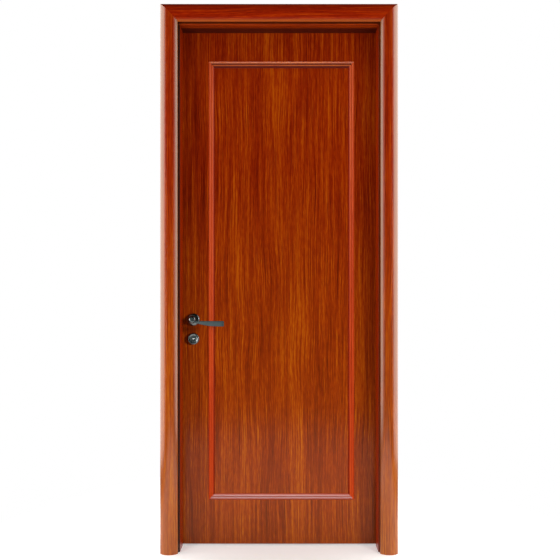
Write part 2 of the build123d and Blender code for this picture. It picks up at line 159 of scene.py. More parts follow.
# %% [markdown]
# The background is white because the world is white for rays that come from the camera, from mirrors and
# through glass. All other rays meet a weak grey, so the background adds hardly any light to the door.

# %% The white world
FILL_LEVEL = 0.10
world = bpy.data.worlds.new("white_studio")
world.use_nodes = True
scene.world = world
sky = world.node_tree
sky.nodes.clear()
rays = sky.nodes.new("ShaderNodeLightPath")
seen = sky.nodes.new("ShaderNodeMath")
seen.operation = "ADD"
sky.links.new(rays.outputs["Is Camera Ray"], seen.inputs[0])
sky.links.new(rays.outputs["Is Glossy Ray"], seen.inputs[1])
through = sky.nodes.new("ShaderNodeMath")
through.operation = "ADD"
through.use_clamp = True
sky.links.new(seen.outputs[0], through.inputs[0])
sky.links.new(rays.outputs["Is Transmission Ray"], through.inputs[1])
fill = sky.nodes.new("ShaderNodeBackground")
fill.inputs["Strength"].default_value = FILL_LEVEL
white = sky.nodes.new("ShaderNodeBackground")
for background in (fill, white):
    background.inputs["Color"].default_value = (1, 1, 1, 1)
mix = sky.nodes.new("ShaderNodeMixShader")
sky.links.new(through.outputs[0], mix.inputs[0])
sky.links.new(fill.outputs[0], mix.inputs[1])
sky.links.new(white.outputs[0], mix.inputs[2])
world_output = sky.nodes.new("ShaderNodeOutputWorld")
sky.links.new(mix.outputs[0], world_output.inputs["Surface"])
print("world nodes:", len(sky.nodes))

# %% [markdown]
# A flat glossy leaf mirrors whatever is in front of it. In the photograph it is deep and clear, so the
# room in front was dark. Dark cards in front, behind, above and below do that, and only mirrored rays see
# them. The floor is a plain sheet, which gets its paper later.

# %% Floor and dark cards
def sheet_of_corners(name, corners):
    """A flat sheet through four corners."""
    mesh = bpy.data.meshes.new(name)
    mesh.from_pydata(corners, [], [(0, 1, 2, 3)])
    sheet = bpy.data.objects.new(name, mesh)
    scene.collection.objects.link(sheet)
    return sheet


FLOOR_REACH = 3.0
CARD_REACH = 3.6
CARD_FOOT, CARD_TOP = -0.3, 6.0
left, right, near, far = MIDDLE_X - FLOOR_REACH, MIDDLE_X + FLOOR_REACH, -FLOOR_REACH, FLOOR_REACH
floor = sheet_of_corners("floor", [(left, near, 0), (right, near, 0), (right, far, 0), (left, far, 0)])
left, right, near, far = MIDDLE_X - CARD_REACH, MIDDLE_X + CARD_REACH, -CARD_REACH, CARD_REACH
under, over = CARD_FOOT, CARD_TOP
card_corners = {
    "front_card": [(left, near, under), (right, near, under), (right, near, over), (left, near, over)],
    "back_card": [(left, far, under), (right, far, under), (right, far, over), (left, far, over)],
    "top_card": [(left, near, over), (right, near, over), (right, far, over), (left, far, over)],
    "low_card": [(left, near, under), (right, near, under), (right, far, under), (left, far, under)],
}
cards = [sheet_of_corners(name, corners) for name, corners in card_corners.items()]
for card in cards:
    card.visible_camera = False
    card.visible_diffuse = False
    card.visible_shadow = False
print("stage:", floor.name, [card.name for card in cards])

# %% [markdown]
# Almost every new piece is a closed section carried along a path: a moulding's section along its board,
# or a circle along the axis of a turned knob. The same grid of points serves them all, so one helper
# turns such grids into a mesh, checks which way the faces point by the volume they enclose, and softens
# only the edges that are round on the real piece.

# %% Sections become meshes
def grid_faces(rows, columns, ring):
    """Corner (i, j) joins (i, j+1), (i+1, j+1), (i+1, j); the last column joins the first.

    With ring the last row joins the first as well, otherwise both end rows get a flat cover.
    """
    index = np.arange(rows * columns).reshape(rows, columns)
    index = np.hstack([index, index[:, :1]])
    covers = [] if ring else [index[0, -2::-1], index[-1, :-1]]
    if ring:
        index = np.vstack([index, index[:1]])
    quads = np.stack([index[:-1, :-1], index[:-1, 1:], index[1:, 1:], index[1:, :-1]], axis=-1)
    return quads.reshape(-1, 4), covers


def enclosed_volume(points, quads, covers):
    """A sixth of the sum of a . (b x c) over fans of triangles: positive when faces point outwards."""
    fans = [quads[:, [0, 1, 2]], quads[:, [0, 2, 3]]]
    for cover in covers:
        fans.append(np.column_stack([np.full(len(cover) - 2, cover[0]), cover[1:-1], cover[2:]]))
    a, b, c = np.moveaxis(points[np.vstack(fans)], 1, 0)
    return float(np.einsum("ij,ij->", a, np.cross(b, c)) / 6)


def make_piece(name, grids, soft_angle=35, one_finish=False):
    """One mesh object from grids of points, each given as (points, ring).

    Each grid's faces take the material slot of its own number, unless there is one finish for all.
    """
    corners, faces, finishes, volume, start = [], [], [], 0.0, 0
    for number, (points, ring) in enumerate(grids):
        quads, covers = grid_faces(*points.shape[:2], ring)
        flat = points.reshape(-1, 3)
        inside = enclosed_volume(flat - flat.mean(axis=0), quads, covers)
        turn = 1 if inside > 0 else -1
        faces += (quads[:, ::turn] + start).tolist() + [(cover[::turn] + start).tolist() for cover in covers]
        finishes += [0 if one_finish else number] * (len(quads) + len(covers))
        corners.append(flat)
        volume += abs(inside)
        start += len(flat)
    mesh = bpy.data.meshes.new(name)
    mesh.from_pydata(np.vstack(corners).tolist(), [], faces)
    mesh.polygons.foreach_set("material_index", finishes)
    mesh.shade_smooth()
    mesh.set_sharp_from_angle(angle=math.radians(soft_angle))
    piece = bpy.data.objects.new(name, mesh)
    scene.collection.objects.link(piece)
    piece["volume_cm3"] = round(volume * 1e6, 2)
    return piece


def arc(centre, radius, start, end, steps):
    """Points on a circle from one angle to another, in degrees."""
    angle = np.radians(np.linspace(start, end, steps))
    return np.column_stack([centre[0] + radius * np.cos(angle), centre[1] + radius * np.sin(angle)])


def mitred_bar(section, start, end, outward, proud, mitres, stations=24):
    """A section carried along a straight board.

    A section point (w, h) at the share t of the way lies at
    start + along * (t * (length + (first + last) * w) - first * w) + outward * w + proud * h,
    where first and last are 1 at a mitred end and 0 at a square one.
    """
    start, end, outward, proud = (np.asarray(v, dtype=float) for v in (start, end, outward, proud))
    length = np.linalg.norm(end - start)
    along = (end - start) / length
    w, h = section[:, 0], section[:, 1]
    first, last = mitres
    t = np.linspace(0, 1, stations)[:, None]
    run = t * (length + (first + last) * w) - first * w
    return start + run[..., None] * along + w[:, None] * outward + h[:, None] * proud


print("helpers ready; a test circle has", len(arc((0, 0), 1, 0, 350, 36)), "points")

# %% [markdown]
# An architrave is the cover board round a door frame. This one has a crowned face: a flat arc from edge
# to edge, with the sharp corners eased. The solids already have that section, but with a few flat
# facets, and a long highlight shows each of them, so the boards are drawn again with a fine arc. The
# corners are cut at 45 degrees, which is a section carried a little further at its outer side.

# %% Crowned architraves
def crowned_section(width, height):
    """An arc of radius (width^2 / 4 + crown^2) / (2 crown) over two square edges, with eased corners."""
    edge, ease = 0.018, 0.002
    crown = height - edge
    radius = (width**2 / 4 + crown**2) / (2 * crown)
    middle = (width / 2, height - radius)
    ease_y = middle[1] + math.sqrt((radius - ease) ** 2 - (width / 2 - ease) ** 2)
    meet = math.degrees(math.atan2(ease_y - middle[1], ease - width / 2))
    return np.vstack([
        [(0, 0)], arc((ease, ease_y), ease, 180, meet, 7),
        arc(middle, radius, meet, 180 - meet, 61)[1:-1],
        arc((width - ease, ease_y), ease, 180 - meet, 0, 7), [(width, 0)],
    ])


FLANK_GAIN = 1.6


def side_of_frame(node, section_of, mitred_foot, shade, flanks=None):
    """The piece that stands for one side of a mitred frame, placed from its solid's box.

    Its attribute shade follows straight lines between pairs of (distance from the inner edge, share). Its
    attribute flank is the gain times a line that falls from 1 at either edge to 0 at that edge's distance.
    """
    low, high = (np.array(corner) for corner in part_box(node))
    proud = -1 if node.startswith("front") else 1
    back = high[1] if proud < 0 else low[1]
    height = high[1] - low[1]
    upright = "side" in node
    width = high[0] - low[0] if upright else high[2] - low[2]
    section = section_of(width, height)
    if upright:
        inner, outward = (high[0], (-1, 0, 0)) if "latch" in node else (low[0], (1, 0, 0))
        foot = low[2] + width if mitred_foot else low[2]
        start, end = (inner, back, foot), (inner, back, high[2] - width)
        mitres = (1, 1) if mitred_foot else (0, 1)
    else:
        inner, outward = (low[2], (0, 0, 1)) if "head" in node else (high[2], (0, 0, -1))
        start, end = (low[0] + width, back, inner), (high[0] - width, back, inner)
        mitres = (1, 1)
    bar = mitred_bar(section, start, end, outward, (0, proud, 0), mitres)
    piece = make_piece(node + "_shaped", [(bar, False)])
    w = section[:, 0]
    shares = {"shade": np.interp(w, *np.transpose(shade))}
    if flanks:
        shares["flank"] = FLANK_GAIN * np.maximum(1 - w / flanks[0], 1 - (width - w) / flanks[1])
    for name, share in shares.items():
        values = np.broadcast_to(np.clip(share, 0, 1).astype(np.float32), bar.shape[:2])
        piece.data.attributes.new(name, "FLOAT", "POINT").data.foreach_set("value", values.ravel())
    return piece


NARROW = 1e-6  # a distance so small that only the edge itself is meant
# painted shade on the inner side of each board, which is the under side on the head
EDGE_SHADE = [(0.0, 1), (NARROW, 0)]  # only the inner side of the board
HEAD_FLANKS, UPRIGHT_FLANKS = (0.009, NARROW), (0.012, 0.022)
architraves = {}
for face in ("front", "back"):
    for side in ("latch_side", "hinge_side", "head"):
        node = f"{face}_{side}_architrave"
        flanks = HEAD_FLANKS if side == "head" else UPRIGHT_FLANKS
        board = side_of_frame(node, crowned_section, False, EDGE_SHADE, flanks)
        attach(board, "frame")
        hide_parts(node)
        architraves[node] = board
        print(node, board["volume_cm3"], "cm3")

# %% [markdown]
# The moulding is a thin strip planted on the flush leaf: an outer bead, a narrow groove, and an ovolo
# that falls to the panel. Its bright lines come from the bead and the edge of the groove, so the
# section is drawn point by point rather than rounded off from a box.

# %% Planted moulding
def bead_and_ovolo(width, height):
    """A bead on the outer 10 mm, a groove 2.4 mm wide, and an S-shaped fall to a narrow flat inner edge.

    The bead is an arc. The fall is a cubic curve through two points p with the slopes m at its ends.
    """
    bead, groove, depth, step, edge, flat = 0.010, 0.0024, 0.0009, 0.0075, 0.002, 0.0025
    bead_start = width - bead
    crest = bead_start - groove
    side = (edge + height) / 2
    rise = height - side
    radius = (bead**2 / 4 + rise**2) / (2 * rise)
    lean = math.degrees(math.asin(bead / 2 / radius))
    lean = lean if rise < radius else 180 - lean
    t = np.linspace(0, 1, 25)[:, None]
    p0, p1 = np.array((flat, edge)), np.array((crest, step))
    m0, m1 = np.array((crest, height)), np.array((crest, edge / 4))
    fall = (
        (2 * t**3 - 3 * t**2 + 1) * p0 + (t**3 - 2 * t**2 + t) * m0
        + (3 * t**2 - 2 * t**3) * p1 + (t**3 - t**2) * m1
    )
    crown = arc((width - bead / 2, height - radius), radius, 90 + lean, 90 - lean, 33)
    return np.vstack([
        [(0, 0), (0, edge)], fall, [(crest, step - depth), (bead_start, step - depth)],
        crown, [(width, 0)],
    ])


# painted shade on each strip: how dark it is at a distance from its inner edge
INNER_SHADE = [(0.0035, 1), (0.0075, 0)]
STRIP_SHADES = {
    "head": [
        (0.0068, 1), (0.0078, 0), (0.0098, 0), (0.0108, 0.9),
        (0.0150, 0.9), (0.0168, 0), (0.0225, 0), (0.0240, 0.8),
    ],
    "bottom": [
        (0.0045, 1), (0.0056, 0.35), (0.0105, 0.35), (0.0114, 0.5),
        (0.0142, 0.4), (0.0150, 0), (0.0172, 0), (0.0184, 1),
    ],
}
mouldings = {}
for face in ("front", "back"):
    for side in ("latch_side", "hinge_side", "head", "bottom"):
        node = f"{face}_{side}_moulding"
        strip = side_of_frame(node, bead_and_ovolo, True, STRIP_SHADES.get(side, INNER_SHADE))
        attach(strip, "leaf")
        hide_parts(node)
        mouldings[node] = strip
print("moulding strips:", len(mouldings), "each about", strip["volume_cm3"], "cm3")

# %% [markdown]
# The roses are the round cover plates under the lever and round the key plug. They are turned pieces, so
# a profile goes round an axis. Polished metal shows every flat, and a fine round rim gives the small
# white crescents that the photograph has.

# %% Turned roses
def turned_ring(profile, x, z, leaf_face, outwards, turns=96):
    """A closed profile of radius and height, taken once round the axis through (x, z)."""
    angle = np.linspace(0, 2 * math.pi, turns, endpoint=False)
    r, h = profile[:, 0][:, None], profile[:, 1][:, None]
    across, up = x + r * np.cos(angle), z + r * np.sin(angle)
    return np.stack([across, np.broadcast_to(leaf_face + outwards * h, across.shape), up], axis=-1)


def place_of_turned(node):
    """Axis, leaf face, direction, radius and height of a turned solid, from its box."""
    low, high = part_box(node)
    outwards = -1 if node.startswith("front") else 1
    leaf_face = high.y if outwards < 0 else low.y
    axis = (low.x + high.x) / 2, (low.z + high.z) / 2
    return *axis, leaf_face, outwards, (high.x - low.x) / 2, high.y - low.y


def lever_rose_profile(radius, height):
    """Upright wall, a dome that is a quarter of an ellipse, and the hole for the lever's hub."""
    hole, drop = 0.0129, 0.0065
    dome = arc((0, 0), 1, 0, 90, 25) * (radius - hole, drop) + (hole, height - drop)
    return np.vstack([[(hole, 0), (radius, 0)], dome])


def key_rose_profile(radius, height):
    """A 4.5 mm quarter round, a shallow dish, and a raised collar with rounded edges."""
    hole, rim, collar, dish, ease = 0.0094, 0.0045, 0.0129, 0.0015, 0.0008
    dish_edge, first_drop, slope = 0.006, 0.0002, 0.0018
    low = height - dish
    return np.vstack([
        [(hole, 0), (radius, 0)], arc((radius - rim, height - rim), rim, 0, 90, 13),
        [(radius - dish_edge, height - first_drop), (collar + slope, low), (collar, low)],
        arc((collar - ease, height - ease), ease, 0, 90, 5),
        arc((hole + ease, height - ease), ease, 90, 180, 5),
    ])


roses = {}
for face in ("front", "back"):
    for kind, profile_of in (("lever_rose", lever_rose_profile), ("key_rose", key_rose_profile)):
        node = f"{face}_{kind}"
        x, z, leaf_face, outwards, radius, height = place_of_turned(node)
        ring = turned_ring(profile_of(radius, height), x, z, leaf_face, outwards)
        rose = make_piece(node + "_turned", [(ring, True)], soft_angle=40)
        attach(rose, "leaf")
        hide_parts(node)
        roses[node] = rose
print("roses:", {name: rose["volume_cm3"] for name, rose in roses.items()})

# %% [markdown]
# The lever is a cast hub with a flat blade. The blade's top is level and its lower edge sweeps down to a
# deeper tip. Seen along its length it is a rounded rectangle that grows, so it is that section carried
# along the blade; the last sections shrink on a quarter circle and round the tip off.

# %% Levers
HUB_RADIUS, KNOB_RADIUS, KNOB_ROUND = 0.0125, 0.0145, 0.0075
SWELL_START, SWELL_LENGTH, NOSE_FLAT = 0.026, 0.012, 0.003  # behind the nose, and the nose's flat middle
BLADE_TOP, BLADE_DEPTH, BLADE_NECK = 0.0055, 0.0215, 0.005
BLADE_THICKNESS, BLADE_ROUND, TIP_ROUND, BLADE_FLAT = 0.009, 0.002, 0.003, 0.026
EASE_LIMIT = 0.8  # a round takes up this share of the thinner side at most


def rounded_rectangle(steps=7):
    """Unit directions of four quarter rounds and the corner each belongs to, anticlockwise."""
    turns = np.radians(np.linspace(0, 90, steps))
    angles = np.concatenate([turns + quarter * math.pi / 2 for quarter in range(4)])
    corners = np.repeat([(1, 1), (-1, 1), (-1, -1), (1, -1)], steps, axis=0)
    return np.column_stack([np.cos(angles), np.sin(angles)]), corners


def blade_grid(reach, spindle_x, spindle_z, nose, inwards):
    """Sections along x: height from the level top to the swept lower edge, thickness behind the nose.

    The lower edge is a circle that touches the tip's straight stretch: z = tip + R - sqrt(R^2 - d^2).
    """
    start = HUB_RADIUS / 2
    bend = reach - BLADE_FLAT - start
    rise = BLADE_DEPTH - BLADE_NECK
    sweep = (bend**2 + rise**2) / (2 * rise)
    straight = np.concatenate([np.linspace(start, reach - BLADE_FLAT, 28), [reach - BLADE_FLAT / 2]])
    turn = np.radians(np.linspace(0, 90, 9))
    s = np.concatenate([straight, reach - TIP_ROUND + TIP_ROUND * np.sin(turn)])
    inset = np.concatenate([np.zeros_like(straight), 1 - np.cos(turn)])
    d = np.clip(reach - BLADE_FLAT - s, 0, None)
    bottom = -BLADE_TOP - BLADE_DEPTH + sweep - np.sqrt(sweep**2 - d**2) + TIP_ROUND * inset
    top = -BLADE_TOP - TIP_ROUND * inset
    half_z = (top - bottom)[:, None] / 2
    half_y = BLADE_THICKNESS / 2 - BLADE_ROUND * inset[:, None]
    ease = np.minimum(BLADE_ROUND, EASE_LIMIT * np.minimum(half_y, half_z))
    direction, corner = rounded_rectangle()
    y = corner[:, 0] * (half_y - ease) + direction[:, 0] * ease
    z = corner[:, 1] * (half_z - ease) + direction[:, 1] * ease + (top + bottom)[:, None] / 2
    x = np.broadcast_to(spindle_x + s[:, None], y.shape)
    return np.stack([x, nose + inwards * (BLADE_THICKNESS / 2 + y), spindle_z + z], axis=-1)


def hub_grid(spindle_x, spindle_z, nose, seat, turns=64):
    """Circles along y: a round neck from the seat in the rose, then a wider knob with a rounded nose.

    From neck to knob the radius grows by the share s^2 (3 - 2 s), which starts and ends level.
    """
    inwards = math.copysign(1, seat - nose)
    swell = np.linspace(0, 1, 9)
    neck = np.column_stack([
        HUB_RADIUS + (KNOB_RADIUS - HUB_RADIUS) * swell**2 * (3 - 2 * swell),
        SWELL_START - SWELL_LENGTH * swell,
    ])
    nose_round = arc((KNOB_RADIUS - KNOB_ROUND, KNOB_ROUND), KNOB_ROUND, 0, -90, 15)
    profile = np.vstack([[(HUB_RADIUS, abs(seat - nose))], neck, nose_round, [(NOSE_FLAT, 0.0)]])
    r, depth = profile[:, 0][:, None], profile[:, 1][:, None]
    angle = np.linspace(0, 2 * math.pi, turns, endpoint=False)
    across, up = spindle_x + r * np.cos(angle), spindle_z + r * np.sin(angle)
    return np.stack([across, np.broadcast_to(nose + inwards * depth, across.shape), up], axis=-1)


levers = {}
for face in ("front", "back"):
    node = f"{face}_lever"
    low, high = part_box(node)
    nose, seat = (low.y, high.y) if face == "front" else (high.y, low.y)
    spindle_x, spindle_z = low.x + HUB_RADIUS, high.z - HUB_RADIUS
    blade = blade_grid(high.x - spindle_x, spindle_x, spindle_z, nose, math.copysign(1, seat - nose))
    hub = hub_grid(spindle_x, spindle_z, nose, seat)
    lever = make_piece(node + "_cast", [(hub, False), (blade, False)])
    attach(lever, "lever")
    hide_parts(node)
    levers[node] = lever
    print(node, lever["volume_cm3"], "cm3, reach", round(high.x - spindle_x, 4))

# %% [markdown]
# Screws hold the hinges, the lock's forend and the strike. They show only when the door is open. Each head
# is a low dome with a cross cut into it. A cross cut is a hole whose radius goes up and down four times on
# its way round, so the whole head is still one profile turned about an axis.

# %% Screw heads
DOME_HEIGHT, SUNK = 0.0007, 0.0002  # of a head's dome, and how far its rim sits in the fitting
CUT_CORE, CUT_WINGS = 0.0007, 0.0015
CUT_ROWS = ((1.05, 0.00062), (0.85, 0.00015))  # the cut's share of its width, and its height
FLOOR_RADIUS, FLOOR_HEIGHT = 0.0003, 0.00012


def screw_head(place, outwards, radius=0.0041, turns=48):
    """Circles along x: a low dome, then a cut of radius core + wings |cos 2 angle|^4, down to a flat floor."""
    angle = np.linspace(0, 2 * math.pi, turns, endpoint=False)
    dome = arc((0, 0), 1, 0, 60, 7) * (radius, DOME_HEIGHT)
    cut = CUT_CORE + CUT_WINGS * np.abs(np.cos(2 * angle)) ** 4
    round_rows = np.broadcast_to(dome[:, :1], (len(dome), turns))
    cut_rows = [share * cut for share, _ in CUT_ROWS]
    r = np.vstack([round_rows[:1], round_rows, *cut_rows, np.full(turns, FLOOR_RADIUS)])
    h = np.concatenate([[-SUNK], dome[:, 1], [height for _, height in CUT_ROWS], [FLOOR_HEIGHT]])[:, None]
    x, y, z = place
    return np.stack([
        np.broadcast_to(x + outwards * h, r.shape), y + r * np.cos(angle), z + r * np.sin(angle),
    ], axis=-1)


def screws_on(name, slot, body, face_x, outwards, places):
    """All screw heads of one fitting as one piece, at the given places (y, z) on its face."""
    heads = [(screw_head((face_x, y, z), outwards), False) for y, z in places]
    piece = make_piece(name, heads, one_finish=True)
    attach(piece, body)
    return piece


HINGE_MIDDLES = (0.256, 1.055, 1.854)
HINGE_SCREWS = ((0.036, -0.038), (0.050, -0.014), (0.036, 0.014), (0.050, 0.038))
LEAF_EDGE_X, LINING_X = -0.027, -0.022
LEAF_MIDDLE = 0.039  # half-way through the leaf
FOREND_INSET, STRIKE_INSET = 0.012, 0.009  # from the ends of the plate to its screws
hinge_places = [(y, middle + rise) for middle in HINGE_MIDDLES for y, rise in HINGE_SCREWS]
case_low, case_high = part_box("lock_case")
strike_low, strike_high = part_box("strike_plate")
forend_places = [(LEAF_MIDDLE, case_low.z + FOREND_INSET), (LEAF_MIDDLE, case_high.z - FOREND_INSET)]
strike_places = [(LEAF_MIDDLE, strike_low.z + STRIKE_INSET), (LEAF_MIDDLE, strike_high.z - STRIKE_INSET)]
fittings = {
    "hinge_door_screws": ("hinge_steel", "leaf", LEAF_EDGE_X, 1, hinge_places),
    "hinge_frame_screws": ("hinge_steel", "frame", LINING_X, -1, hinge_places),
    "forend_screws": ("lock_steel", "leaf", case_low.x, -1, forend_places),
    "strike_screws": ("lock_steel", "frame", strike_high.x, 1, strike_places),
}
screws = {name: screws_on(name, *fitting) for name, fitting in fittings.items()}
print("screw heads:", {name: piece["volume_cm3"] for name, piece in screws.items()})

# %% [markdown]
# A finish is a small network of nodes. The helper below only saves typing: it adds a node, sets the
# sockets that are given numbers, and links those that are given other nodes' outputs. Values that are
# the same all over a surface are set on the shader itself.

# %% A helper for finishes
class Finish:
    """A material whose nodes are added one by one."""

    def __init__(self, name, **shader_values):
        self.material = bpy.data.materials.new(name)
        self.material.use_nodes = True
        self.tree = self.material.node_tree
        self.tree.nodes.clear()
        self.shader = self.add("BsdfPrincipled", {k.replace("_", " "): v for k, v in shader_values.items()})
        output = self.add("OutputMaterial")
        self.tree.links.new(self.shader.outputs[0], output.inputs["Surface"])
        self.place = self.add("TexCoord").outputs["Object"]

    def add(self, kind, inputs=None, **settings):
        """Adds a node; inputs are set or linked by name or number, settings are its own properties."""
        node = self.tree.nodes.new("ShaderNode" + kind)
        for key, value in settings.items():
            setattr(node, key, value)
        for key, value in (inputs or {}).items():
            if isinstance(value, bpy.types.NodeSocket):
                self.tree.links.new(value, node.inputs[key])
            else:
                node.inputs[key].default_value = value
        return node

    def axis(self, number):
        """One coordinate of the place: 0 is x, 1 is y and 2 is z."""
        return self.add("SeparateXYZ", {0: self.place}).outputs[number]

    def attribute(self, name):
        """A value that the mesh carries at its points."""
        return self.add("Attribute", attribute_name=name).outputs["Fac"]

    def calc(self, operation, a, b=0.0, c=0.0, clamp=False):
        """A sum, product or other calculation with up to three values."""
        return self.add("Math", {0: a, 1: b, 2: c}, operation=operation, use_clamp=clamp).outputs[0]

    def stretch(self, vector, factors, shift=(0, 0, 0)):
        """The vector times the factors, plus a shift."""
        inputs = {0: vector, 1: factors, 2: shift}
        return self.add("VectorMath", inputs, operation="MULTIPLY_ADD").outputs[0]

    def noise(self, vector, detail=2.0, roughness=0.5):
        """A cloudy value from 0 to 1, mostly near 0.5."""
        inputs = {"Vector": vector, "Scale": 1.0, "Detail": detail, "Roughness": roughness}
        return self.add("TexNoise", inputs).outputs[0]

    def between(self, value, low, high, to_low=0.0, to_high=1.0):
        """A straight line from to_low, at low, up or down to to_high, at high, and level outside."""
        return self.add("MapRange", {0: value, 1: low, 2: high, 3: to_low, 4: to_high}, clamp=True).outputs[0]

    def ramp(self, value, stops):
        """The colour at a value, from stops of (value, colour)."""
        node = self.add("ValToRGB", {0: value})
        elements = node.color_ramp.elements
        while len(elements) < len(stops):
            elements.new(0.5)
        for element, (position, colour) in zip(elements, stops):
            element.position = position
            element.color = (*colour, 1)
        return node.outputs[0]

    def mix(self, share, a, b):
        """Colour a changed to colour b by a share."""
        node = self.add("Mix", {0: share}, data_type="RGBA")
        for key, value in ((6, a), (7, b)):
            if isinstance(value, bpy.types.NodeSocket):
                self.tree.links.new(value, node.inputs[key])
            else:
                node.inputs[key].default_value = (*value, 1)
        return node.outputs[2]

    def link(self, socket, value):
        """Links a value that varies over the surface to one of the shader's sockets."""
        self.tree.links.new(value, self.shader.inputs[socket])

    def finish(self, colour, rough=None, height=None, relief=0.0, strength=1.0):
        """Links the colour, the roughness and a bump of a given depth in metres to the shader."""
        self.link("Base Color", colour)
        if rough is not None:
            self.link("Roughness", rough)
        if height is not None:
            bump = self.add("Bump", {"Height": height, "Distance": relief, "Strength": strength})
            self.link("Normal", bump.outputs[0])
        return self.material


print("finish helper ready")

# %% [markdown]
# The wood is a red-brown veneer under clear varnish. A value that wanders along the grain picks its tone
# from a short list of colours, dark to light. Each kind of board has a list of its own. The moulding's three
# lists carry painted light and shade: a paler list with painted sheen for the upright strips, and darker ones
# with painted shade for the head and bottom strips; the upright stops get a paler list with painted light, the
# head stop a darker one with painted shade. The colours are linear, as shaders want them.

# %% Tones of the wood
RED_VENEER = [
    (0.18, (0.100, 0.0045, 0.0003)), (0.36, (0.158, 0.0078, 0.0003)), (0.50, (0.216, 0.0140, 0.0004)),
    (0.64, (0.285, 0.0290, 0.0005)), (0.82, (0.380, 0.0640, 0.0010)),
]
CASING_TONES = [
    (0.18, (0.160, 0.0060, 0.0003)), (0.36, (0.230, 0.0112, 0.0003)), (0.50, (0.292, 0.0195, 0.0004)),
    (0.64, (0.350, 0.0360, 0.0006)), (0.82, (0.410, 0.0660, 0.0012)),
]
HEAD_CASING_TONES = [
    (0.18, (0.150, 0.0050, 0.0003)), (0.36, (0.218, 0.0085, 0.0003)), (0.50, (0.278, 0.0148, 0.0003)),
    (0.64, (0.342, 0.0290, 0.0004)), (0.82, (0.405, 0.0530, 0.0008)),
]
# one moulding in three lists: paler uprights with painted sheen, darker head and bottom strips with painted
# shade
STRIP_SHEEN_TONES = [
    (0.20, (0.360, 0.0330, 0.0060)), (0.42, (0.450, 0.0500, 0.0100)), (0.58, (0.510, 0.0660, 0.0140)),
    (0.80, (0.570, 0.0900, 0.0190)),
]
HEAD_STRIP_SHADED_TONES = [
    (0.20, (0.280, 0.0360, 0.0040)), (0.50, (0.370, 0.0620, 0.0060)), (0.80, (0.460, 0.0950, 0.0080)),
]
BOTTOM_STRIP_SHADED_TONES = [
    (0.20, (0.170, 0.0110, 0.0040)), (0.50, (0.235, 0.0200, 0.0050)), (0.80, (0.310, 0.0380, 0.0070)),
]
# upright stops paler with painted light, the head stop darker with painted shade
REVEAL_LIT_TONES = [
    (0.20, (0.200, 0.0090, 0.0003)), (0.50, (0.325, 0.0195, 0.0004)), (0.80, (0.440, 0.0390, 0.0006)),
]
HEAD_STOP_SHADED_TONES = [
    (0.20, (0.160, 0.0110, 0.0008)), (0.50, (0.275, 0.0270, 0.0010)), (0.80, (0.390, 0.0500, 0.0012)),
]
DARK_PORE = (0.085, 0.0060, 0.0040)
# painted shade in the gap between the architraves and the stops
PAINTED_GAP_SHADE = (0.030, 0.0080, 0.0040)
print("tones on the leaf:", len(RED_VENEER), "on the architraves:", len(CASING_TONES))

# %% [markdown]
# Grain is long. A slow tide and broader bands change the tone, fine lines run for a hand's length, and short
# fibres break them up. Each is a noise that is stretched along the grain, and one slow sway bends them all
# alike, so that they stay side by side as in a real board.

# %% Grain
SWAY, SWAY_SCALE = 0.035, (5.0, 5.0, 2.4)
GRAIN_LAYERS = (  # scale across and along the grain, axes that the seed shifts, detail, roughness, weight
    (9, 0.6, (1, 1, 1), 1.0, 0.5, 0.45),  # tide
    (60, 2.0, (0, 1, 1), 1.0, 0.5, 0.42),  # bands
    (400, 3.2, (1, 1, 0), 0.5, 0.5, 0.88),  # lines
    (480, 34, (1, 0, 0), 1.5, 0.6, 0.60),  # fibres
)


def long_grain(wood, grain, seed):
    """The bent place along the grain, the fibres, and the value that picks the tone.

    A point moves across the grain by sway (noise - 0.5), and the value is 0.5 plus the sum of
    weight (noise - 0.5) over the layers.
    """
    place = wood.place
    if grain == "x":
        place = wood.add("Mapping", {"Vector": place, "Rotation": (0, math.pi / 2, 0)}).outputs[0]
    across, deep, along = wood.add("SeparateXYZ", {0: place}).outputs
    bend = wood.noise(wood.stretch(place, SWAY_SCALE, (seed, 0, seed)), 1.0)
    bend = wood.calc("MULTIPLY", wood.calc("SUBTRACT", bend, 0.5), SWAY)
    bent = wood.add("CombineXYZ", {0: wood.calc("ADD", across, bend), 1: deep, 2: along}).outputs[0]
    value = 0.5
    for wide, long, axes, detail, roughness, weight in GRAIN_LAYERS:
        shift = tuple(seed * axis for axis in axes)
        layer = wood.noise(wood.stretch(bent, (wide, wide, long), shift), detail, roughness)
        value = wood.calc("MULTIPLY_ADD", wood.calc("SUBTRACT", layer, 0.5), weight, value)
    return bent, layer, value


print("layers of grain:", len(GRAIN_LAYERS))

# %% [markdown]
# The foot of the leaf and of the architraves is painted paler and more golden, a painted light from the floor,
# and the moulding strips lose their painted sheen there. The rim of the leaf is darker with painted shade from
# the frame, and dark lines of painted shade lie in the gap where the architraves meet the stops. Each of these
# is a change of colour by place, or by a value that the mesh carries at its points.

# %% Painted light and shade: foot, rim and gaps
# painted light from the floor at the foot: what the colour is multiplied by there, and what is added;
# the strips lose their painted sheen there and only get redder
LEAF_FOOT_PAINTED_LIGHT = (1.25, 1.8, 2.0), (0, 0.0140, 0.0016)
CASING_FOOT_PAINTED_LIGHT = (1.25, 2.2, 4.0), (0, 0.030, 0.003)
STRIP_FOOT_LESS_PAINTED_SHEEN = (1.0, 0.68, 0.40), (0, 0, 0)
# painted reflection of the floor on the head's lower edge; painted warm sheen under the uprights' edge
# highlights
PAINTED_FLOOR_REFLECTION, PAINTED_FLANK_SHEEN = (0.360, 0.0750, 0.0060), (0.215, 0.0640, 0.0050)
# painted shade under the head architrave and deep in the head reveal
PAINTED_UNDER_SIDE_SHADE, DEEP_SHADE = (0.060, 0.0100, 0.0025), (0.034, 0.0050, 0.0040)
HEAD_FLANK_SHARE = 0.7
LEAF_CENTRE = 1.03
